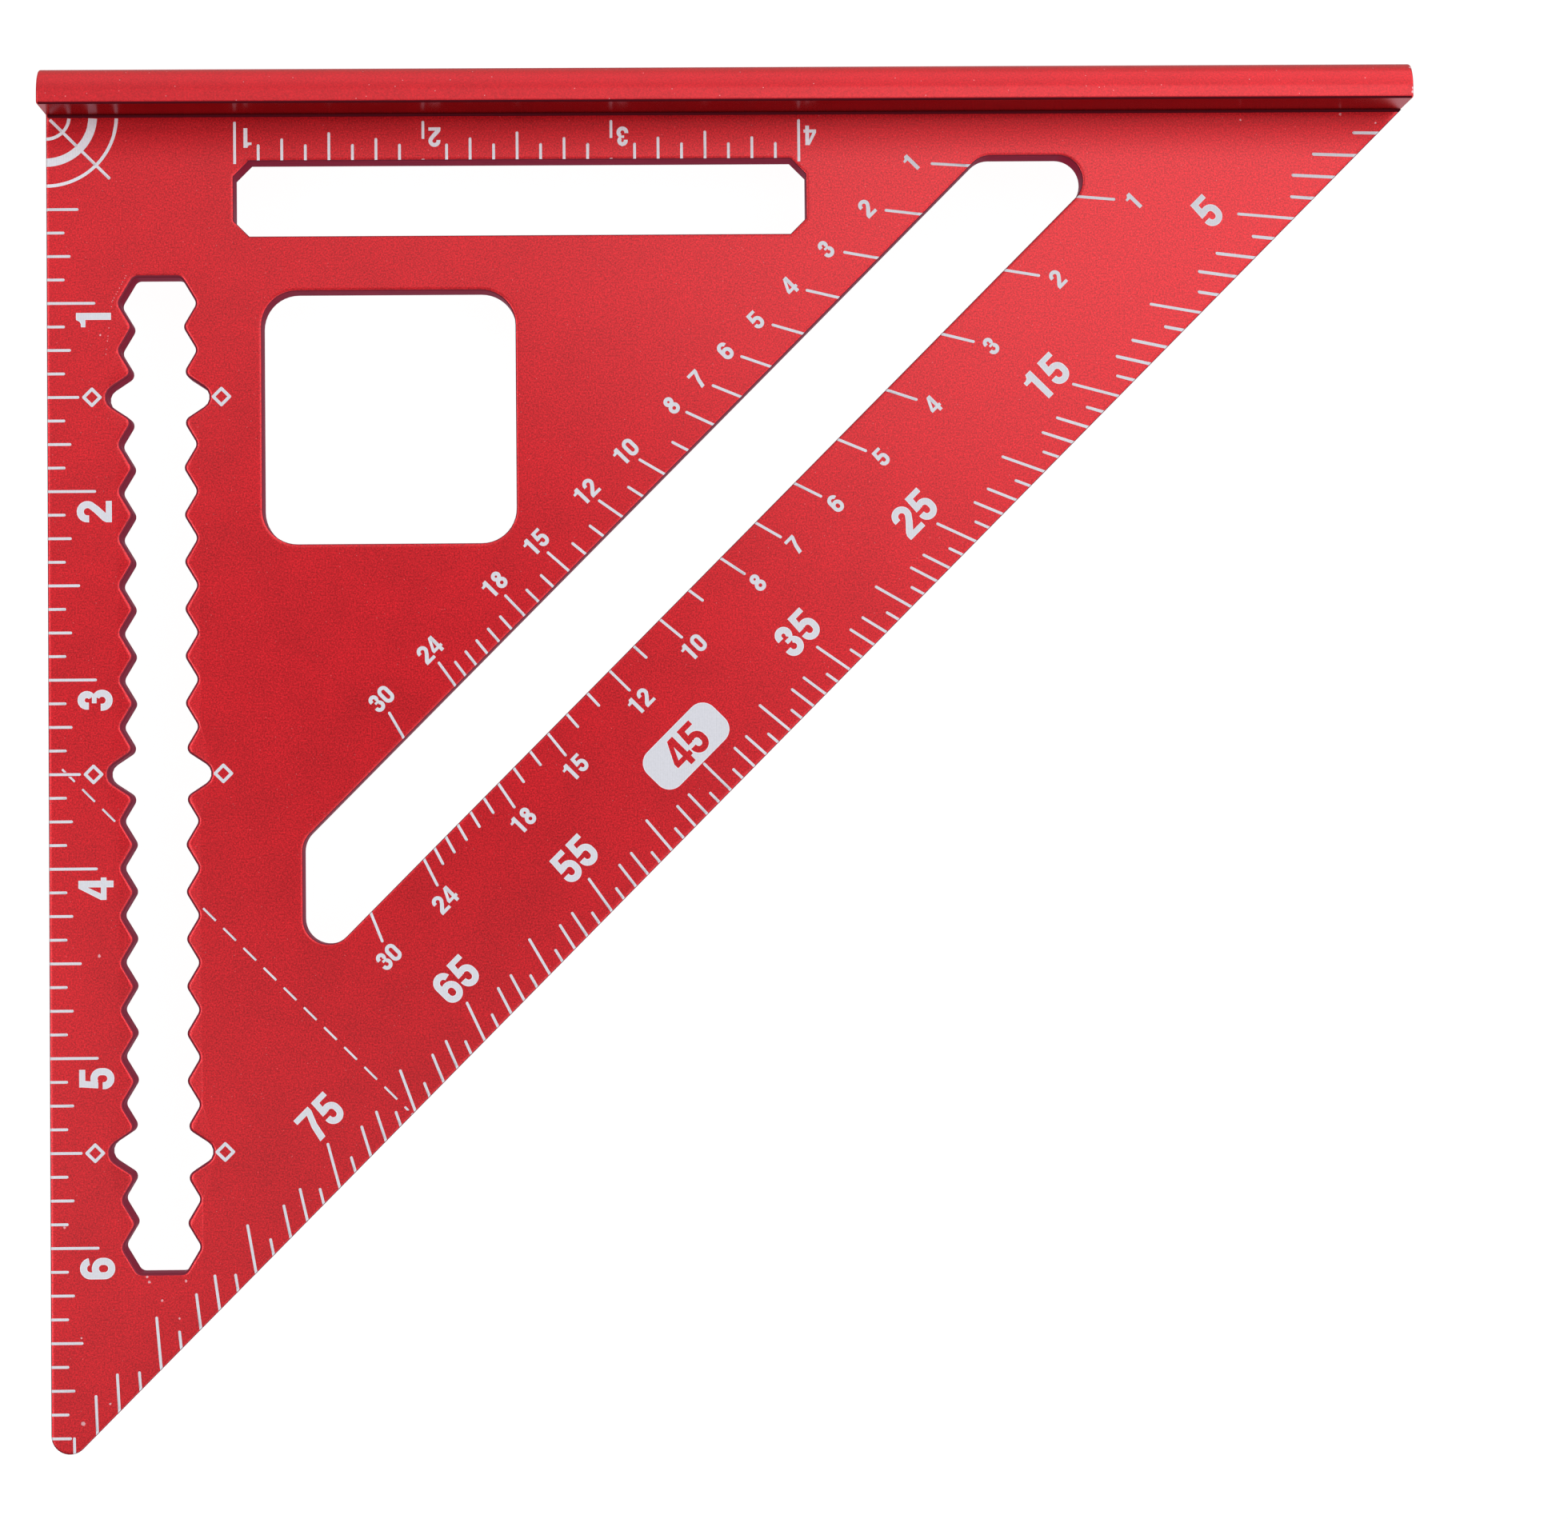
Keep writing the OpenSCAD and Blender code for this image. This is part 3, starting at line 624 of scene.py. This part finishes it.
def run_on(seam, along):
    """Carries a seam's corners on past the seam, each in line with the edge that leads to it."""
    for vert in {v for f in seam for v in f.verts}:
        leads = [vert.co - e.other_vert(vert).co for e in vert.link_edges]
        lead = max(leads, key=lambda d: d.normalized().dot(along))
        vert.co += lead * (SEAM_RUN_ON_MM * MM / lead.dot(along))


def cut_back(bm, along, height):
    """Cuts off what was run on past the seam and closes the cut with one face."""
    cut = bmesh.ops.bisect_plane(
        bm,
        geom=bm.verts[:] + bm.edges[:] + bm.faces[:],
        plane_co=along * height,
        plane_no=along,
        clear_outer=True,
    )["geom_cut"]
    cut_edges = [e for e in cut if isinstance(e, bmesh.types.BMEdge)]
    bmesh.ops.holes_fill(bm, edges=cut_edges, sides=0)


def rounding_drop(distance, radius):
    """How far a quarter circle of that radius has fallen at a distance in from the wall."""
    if distance >= radius:
        return 0.0
    return radius - math.sqrt(radius**2 - (radius - distance) ** 2)


def soften_rim(bm, direction, radius_at, distances=RING_DISTANCES_MM):
    """Rounds the rim of the flat face that looks along direction, ring by ring."""
    crown = faces_towards(bm, direction)
    for start, end in zip(distances, distances[1:]):
        width = (end - start) * MM
        ring = bmesh.ops.inset_region(bm, faces=crown, thickness=width, use_even_offset=True)["faces"]
        inner = {v for f in crown for v in f.verts}
        outer = {v for f in ring for v in f.verts} - inner
        for vert in outer:
            vert.co -= direction * rounding_drop(start, radius_at(vert.co)) * MM


print("rings at", RING_DISTANCES_MM, "mm from the rim")

# %% [markdown]
# ## The blade
# The blade is a flat triangle with four cut-outs. Its outer edge and most cut-outs have their
# corners broken by about a quarter of a millimetre, while the notched slot, where a pencil
# point slides, is rounded about twice as much. The upright walls get the milled finish with its
# painted shade, the steep part of their rims the maroon of painted shade, and the rest the blasted
# red.

# %% Blade piece
UP = Vector((0, 0, 1))
DOWN = Vector((0, 0, -1))
PLAIN_RIM_MM = 0.25
NOTCHED_RIM_MM = 0.50
NOTCH_REACH_MM = 4.0
STEEP = math.cos(math.radians(35))
UPRIGHT = math.cos(math.radians(89))

openings = {o["name"]: o["box_m"] for o in frame["record"]["physics"]["openings"]}
notch_low, notch_high = (Vector(corner) for corner in openings["notched_slot"])


def blade_rim_radius(place):
    reach = NOTCH_REACH_MM * MM
    beside = notch_low.x - reach < place.x < notch_high.x + reach
    along = notch_low.y - reach < place.y < notch_high.y + reach
    return NOTCHED_RIM_MM if beside and along else PLAIN_RIM_MM


def make_blade():
    bm = merged_copy("blade")
    to_fence = Vector((0, 1, 0))
    seam_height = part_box("blade")[1].y
    run_on(seam_faces(bm, to_fence, seam_height), to_fence)
    for direction in (UP, DOWN):
        soften_rim(bm, direction, blade_rim_radius)
    cut_back(bm, to_fence, seam_height)
    bm.normal_update()
    # painted shade: the upright walls and the steep rims take darker materials
    for face in bm.faces:
        if abs(face.normal.z) < UPRIGHT:
            face.material_index = 1
        elif abs(face.normal.z) < STEEP:
            face.material_index = 2
    materials = [blade_red, milled_red, maroon_rim]
    return finish_piece(bm, "blade_plate", "blade", materials)


blade = make_blade()
print(blade.name, "has", len(blade.data.polygons), "faces")

# %% [markdown]
# ## The fence
# The fence is a bar extruded in one with the blade. Its long edges are already round in the
# CAD model, because the die makes them. Only the sawn ends are sharp there, so the same rim
# helper rounds the two end faces. The flat faces that look towards the blade take the smoother
# red, and the narrow curved ones beside them, which lie in shade, take the dark root: a painted
# shade.

# %% Fence piece
FENCE_END_RIM_MM = 0.25
FENCE_END_RINGS_MM = RING_DISTANCES_MM[:4]
INNER_LEAN = 0.35


def shaded_faces(bm):
    """The curved faces that lean towards the blade: the root corners and the inner long edges."""
    curved = [f for f in bm.faces if -FLAT_MATCH < f.normal.y < 0.0]
    past_face = -MERGE_MM * MM
    return [f for f in curved if f.normal.y < -INNER_LEAN or f.calc_center_median().y < past_face]


def make_fence():
    bm = merged_copy("fence")
    to_blade = Vector((0, -1, 0))
    seam_height = -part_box("fence")[0].y
    for face in faces_towards(bm, to_blade):
        face.material_index = 1
    # painted shade: the curved faces beside the inner face take the dark root colour
    for face in shaded_faces(bm):
        face.material_index = 2
    run_on(seam_faces(bm, to_blade, seam_height), to_blade)
    for direction in (Vector((1, 0, 0)), Vector((-1, 0, 0))):
        soften_rim(bm, direction, lambda place: FENCE_END_RIM_MM, FENCE_END_RINGS_MM)
    cut_back(bm, to_blade, seam_height)
    materials = [fence_red, smooth_red, dark_root]
    return finish_piece(bm, "fence_bar", "fence", materials)


fence = make_fence()
print(fence.name, "has", len(fence.data.polygons), "faces")

# %% [markdown]
# ## Outlines of the etched marks
# Each scale is a thin layer on the blade. The laser's spot leaves a line with soft corners that
# looks a little narrower than it is drawn, so these helpers move an outline inwards and round
# its upright corners with a Bevel. The ray on the pivot corner is drawn as bars between the
# arcs. Its bars are run on into the arcs, and lie a touch higher, so that one line crosses them.

# %% Outline helpers
OUT_LONG_EDGE = Vector((1, -1, 0)).normalized()
NARROW_MM = {"ticks": 0.045, "arcs": 0.035, "ray": 0.03}
CORNER_MM = {"diamonds": 0.2, "ray": 0.15, "dashes": 0.08}
SQUARE_CORNER = math.radians(50)
LONGEST_MITRE = 0.5
END_MATCH = 0.95
RAY_RUN_ON_MM = 0.25
RAY_LIFT_MM = 0.004


def join_ray(bm):
    """Lengthens the ray's bars at both ends and lifts their tops."""
    for along in (OUT_LONG_EDGE, -OUT_LONG_EDGE):
        ends = {v for f in bm.faces if f.normal.dot(along) > END_MATCH for v in f.verts}
        bmesh.ops.translate(bm, verts=list(ends), vec=along * RAY_RUN_ON_MM * MM)
    top = {v for f in faces_towards(bm, UP) for v in f.verts}
    bmesh.ops.translate(bm, verts=list(top), vec=UP * RAY_LIFT_MM * MM)


def narrow(bm, by_mm, edges):
    """Moves the outline of the marks inwards, but not back from the blade's edges."""
    moves = []
    for vert in bm.verts:
        sides = []
        for normal in (f.normal for f in vert.link_faces if abs(f.normal.z) < UPRIGHT):
            at_edge = any(normal.dot(outwards) > END_MATCH for outwards in edges)
            if not at_edge and all(normal.dot(side) < FLAT_MATCH for side in sides):
                sides.append(normal.copy())
        if sides:
            first, last = sides[0], sides[-1]
            moves.append((vert, (first + last) / max(1.0 + first.dot(last), LONGEST_MITRE)))
    for vert, outwards in moves:
        vert.co -= outwards * by_mm * MM


def round_corners(bm, radius_mm):
    """Rounds the upright corners of the marks, as the laser's spot does."""
    corners = []
    for edge in bm.edges:
        first, second = (v.co for v in edge.verts)
        upright = abs((second - first).normalized().z) > FLAT_MATCH
        if upright and edge.is_convex and edge.calc_face_angle() > SQUARE_CORNER:
            corners.append(edge)
    bmesh.ops.bevel(
        bm,
        geom=corners,
        offset=radius_mm * MM,
        affect="EDGES",
        segments=3,
        profile=0.5,
        material=-1,
        clamp_overlap=True,
    )


print("outlines move in by", NARROW_MM, "mm")

# %% [markdown]
# ## Borders, and marks that run over an edge
# The large numerals and the plate get one inset, which leaves the bright border. Many ticks run
# out over the blade's rounded edge. Those are cut across with `bisect_plane` where the rings of
# the blade's rim run under them, so that they can bend there. Every vertex is then laid on the
# nearest point of the blade, which a search tree of the blade's faces finds.

# %% Helpers for laying marks on the blade
BORDER_MM = 0.10
BORDER_LIFT_MM = 0.01
SLIVER_MM = 0.005
ONE_PLANE = math.radians(1)


def clear_tops(bm):
    """Joins the triangles of each flat top into large faces, so that an inset can't fold them."""
    tops = set(faces_towards(bm, UP))
    inside = [e for e in bm.edges if tops.issuperset(e.link_faces)]
    bmesh.ops.dissolve_limit(bm, angle_limit=ONE_PLANE, verts=[], edges=inside)
    return faces_towards(bm, UP)


def add_border(bm, top, face_height):
    """Insets the tops and sinks the outer edge of the border that this leaves."""
    width = BORDER_MM * MM
    border = bmesh.ops.inset_region(bm, faces=top, thickness=width, use_even_offset=False)["faces"]
    inner = {v for f in top for v in f.verts}
    for face in border:
        face.material_index = 1
    for vert in {v for f in border for v in f.verts} - inner:
        vert.co.z = face_height + BORDER_LIFT_MM * MM


def cut_near_edge(bm, outwards):
    """Cuts the marks across where the rings of the blade's rim run under them."""
    reach = max(v.co.dot(outwards) for v in bm.verts)
    for distance in RING_DISTANCES_MM[1:]:
        bmesh.ops.bisect_plane(
            bm,
            geom=bm.verts[:] + bm.edges[:] + bm.faces[:],
            plane_co=outwards * (reach - distance * MM),
            plane_no=outwards,
            dist=SLIVER_MM * MM,
        )


def skin_of(piece):
    """A search tree that finds the nearest point of a piece."""
    bm = bmesh.new()
    bm.from_mesh(piece.data)
    skin = BVHTree.FromBMesh(bm)
    bm.free()
    return skin


def lay_on_blade(bm, blade_skin, face_height):
    for vert in bm.verts:
        lift = vert.co.z - face_height
        ground = Vector((vert.co.x, vert.co.y, face_height))
        place, normal, _, _ = blade_skin.find_nearest(ground)
        vert.co = place + normal * lift


blade_skin = skin_of(blade)
face_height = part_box("blade")[1].z
print(f"the marked face lies at {face_height / MM:.1f} mm")

# %% [markdown]
# ## The etched scales
# One function makes every scale. The last word of a CAD node's name says what kind of marks it
# holds, and so how far their outline moves in and how their corners are rounded. The top of
# each layer is sunk almost to the metal, so that no step shows.

# %% Etched pieces
BORDERED = ("degree_numerals", "degree_45_plate", "edge_numerals")
TOP_SINK_MM = 0.03
OUT_LEFT = Vector((-1, 0, 0))
OUT_TIP = Vector((0, -1, 0))
RUNS_OVER_EDGE = {
    "pivot_arcs": [OUT_LEFT],
    "edge_inch_ticks": [OUT_LEFT],
    "edge_fraction_ticks": [OUT_LEFT],
    "fence_fraction_ticks": [OUT_TIP],
    "degree_five_ticks": [OUT_LONG_EDGE],
    "degree_unit_ticks": [OUT_LONG_EDGE, OUT_TIP],
    "hip_main_ticks": [OUT_LONG_EDGE],
    "hip_minor_ticks": [OUT_LONG_EDGE],
    "common_main_ticks": [-OUT_LONG_EDGE],
    "common_minor_ticks": [-OUT_LONG_EDGE],
}


def make_etched(node, blade_skin, face_height):
    bm = merged_copy(node)
    kind = node.split("_")[-1]
    edges = RUNS_OVER_EDGE.get(node, [])
    if kind == "ray":
        join_ray(bm)
    if kind in NARROW_MM:
        narrow(bm, NARROW_MM[kind], edges)
    if kind in CORNER_MM:
        round_corners(bm, CORNER_MM[kind])
    top = faces_towards(bm, UP)
    if node in BORDERED:
        top = clear_tops(bm)
        add_border(bm, top, face_height)
    inner = {v for f in top for v in f.verts}
    bmesh.ops.translate(bm, verts=list(inner), vec=DOWN * TOP_SINK_MM * MM)
    for outwards in edges:
        cut_near_edge(bm, outwards)
    lay_on_blade(bm, blade_skin, face_height)
    # painted light: the marks beside the fence take the paler border material, which makes up for the
    # weaker light there
    fill = etched_border if node.startswith(("fence", "pivot")) else etched_fill
    return finish_piece(bm, node + "_etch", node, [fill, etched_border])


for node in sorted(nodes):
    if node not in ("blade", "fence"):
        piece = make_etched(node, blade_skin, face_height)
        print(piece.name, "has", len(piece.data.polygons), "faces")

# %% [markdown]
# ## The white floor
# The photograph's background is plain white. A floor that is lit to white would burn out the
# tool as well, so the floor's own colour carries it: seen by the camera, in a mirror or
# through glass it glows near white, and a small share of it still takes the light, so the
# tool's shadow stays. For all other rays it is an ordinary pale floor.

# %% Floor
FLOOR_SIZE = 12.0
FLOOR_GLOW = 0.97
FLOOR_SHADOW_SHARE = 0.08
FLOOR_PALE = 0.75


def diffuse_grey(tree, level):
    node = add_node(tree, "ShaderNodeBsdfDiffuse")
    node.inputs["Color"].default_value = (level, level, level, 1.0)
    return node.outputs[0]


def make_white_floor_material():
    material = bpy.data.materials.new("white_floor")
    material.use_nodes = True
    tree = material.node_tree
    tree.nodes.remove(tree.nodes["Principled BSDF"])
    rays = add_node(tree, "ShaderNodeLightPath").outputs
    seen = arithmetic(tree, "MAXIMUM", rays["Is Camera Ray"], rays["Is Glossy Ray"])
    seen = arithmetic(tree, "MAXIMUM", seen, rays["Is Transmission Ray"])
    glow = add_node(tree, "ShaderNodeEmission")
    glow.inputs["Strength"].default_value = FLOOR_GLOW
    white = add_node(tree, "ShaderNodeAddShader")
    join(tree, glow.outputs[0], white.inputs[0])
    join(tree, diffuse_grey(tree, FLOOR_SHADOW_SHARE), white.inputs[1])
    choose = add_node(tree, "ShaderNodeMixShader")
    join(tree, seen, choose.inputs[0])
    join(tree, diffuse_grey(tree, FLOOR_PALE), choose.inputs[1])
    join(tree, white.outputs[0], choose.inputs[2])
    join(tree, choose.outputs[0], tree.nodes["Material Output"].inputs["Surface"])
    return material


def studio_object(bm, name, material):
    """Turns a bmesh into an object of the studio, which is no part of the tool."""
    mesh = bpy.data.meshes.new(name)
    bm.to_mesh(mesh)
    bm.free()
    mesh.materials.append(material)
    made = bpy.data.objects.new(name, mesh)
    scene.collection.objects.link(made)
    return made


def make_floor():
    bm = bmesh.new()
    bmesh.ops.create_grid(bm, x_segments=1, y_segments=1, size=FLOOR_SIZE / 2)
    bmesh.ops.translate(bm, verts=bm.verts, vec=(0, 0, cad_low.z))
    floor = studio_object(bm, "floor", make_white_floor_material())
    return floor


floor = make_floor()
print(f"{floor.name} at {cad_low.z / MM:.1f} mm")

# %% [markdown]
# ## The room
# A satin metal shows what is above it, out of focus, so the surroundings matter as much as the
# lamps. The room is bright to the right and behind the fence and dim elsewhere, which keeps
# edges crisp. A World shader sees the direction of each ray, and the room's brightness grows
# with the ray's lean to a side, up to a limit.

# %% Room
ROOM_LEVEL = 0.34
ROOM_SIDES = {"X": (2.75, 0.4), "Y": (0.79, 1.0)}


def make_room():
    """An even room that gets brighter towards each listed side: by how much, and up to what lean."""
    world = bpy.data.worlds.new("studio_room")
    world.use_nodes = True
    tree = world.node_tree
    sides = add_node(tree, "ShaderNodeSeparateXYZ")
    join(tree, add_node(tree, "ShaderNodeTexCoord").outputs["Generated"], sides.inputs[0])
    total = ROOM_LEVEL
    for axis, (level, reach) in ROOM_SIDES.items():
        lean = arithmetic(tree, "MAXIMUM", sides.outputs[axis], 0.0)
        lean = arithmetic(tree, "MINIMUM", lean, reach)
        total = arithmetic(tree, "ADD", arithmetic(tree, "MULTIPLY", lean, level), total)
    join(tree, total, tree.nodes["Background"].inputs["Strength"])
    tree.nodes["Background"].inputs["Color"].default_value = (1.0, 1.0, 1.0, 1.0)
    scene.world = world


make_room()
print("room level", ROOM_LEVEL, "with brighter sides", ROOM_SIDES)

# %% [markdown]
# ## Softboxes and the dark camera
# The red is brightest at the fence's far end, darkest in a band across the middle, and brighter
# again lower down. The dark band is the camera on its arm, so a dark disc and a dark bar hang
# where those are, and softboxes hang round them: the main one on the right, a weak one behind
# the fence and three towards the left and the tip. They show only as reflections.

# %% Softboxes and the dark camera on its arm
SOFTBOX_HEIGHT = 0.9
DARK_PLACE = (0.036, -0.053, 0.525)
DARK_RADIUS = 0.085
DARK_ARM = (0.40, 0.06)
CAMERA_BLACK = (0.01, 0.01, 0.01, 1.0)


def make_softbox(name, middle, size, brightness):
    """A level softbox that looks straight down; brightness is what a mirror would show of it."""
    data = bpy.data.lights.new(name, "AREA")
    data.shape = "RECTANGLE"
    data.size, data.size_y = size
    data.energy = brightness * math.pi * size[0] * size[1]
    box = bpy.data.objects.new(name, data)
    box.location = (*middle, SOFTBOX_HEIGHT)
    box.visible_camera = False
    scene.collection.objects.link(box)


def make_dark_camera():
    """A black disc and a black bar that runs from it to the left, both level and facing down."""
    material, _, shader, _ = new_material("camera_black")
    shader.inputs["Base Color"].default_value = CAMERA_BLACK
    shader.inputs["Roughness"].default_value = 1.0
    bm = bmesh.new()
    bmesh.ops.create_circle(bm, cap_ends=True, segments=48, radius=DARK_RADIUS)
    arm = bmesh.ops.create_grid(bm, x_segments=1, y_segments=1, size=0.5)["verts"]
    bmesh.ops.scale(bm, verts=arm, vec=(*DARK_ARM, 1.0))
    bmesh.ops.translate(bm, verts=arm, vec=(-DARK_ARM[0] / 2, 0.0, 0.0))
    bmesh.ops.translate(bm, verts=bm.verts, vec=DARK_PLACE)
    dark = studio_object(bm, "dark_camera", material)
    dark.visible_camera = False
    return dark


make_softbox("main_softbox", middle=(0.28, 0.15), size=(0.34, 0.20), brightness=1.72)
make_softbox("back_softbox", middle=(0.00, 0.15), size=(0.22, 0.20), brightness=0.66)
make_softbox("left_softbox", middle=(-0.25, -0.12), size=(0.20, 0.36), brightness=0.93)
make_softbox("low_softbox", middle=(0.08, -0.25), size=(0.36, 0.20), brightness=0.36)
make_softbox("far_left_softbox", middle=(-0.60, -0.10), size=(0.40, 0.80), brightness=4.1)
dark_camera = make_dark_camera()
print(len(bpy.data.lights), "softboxes and", dark_camera.name)
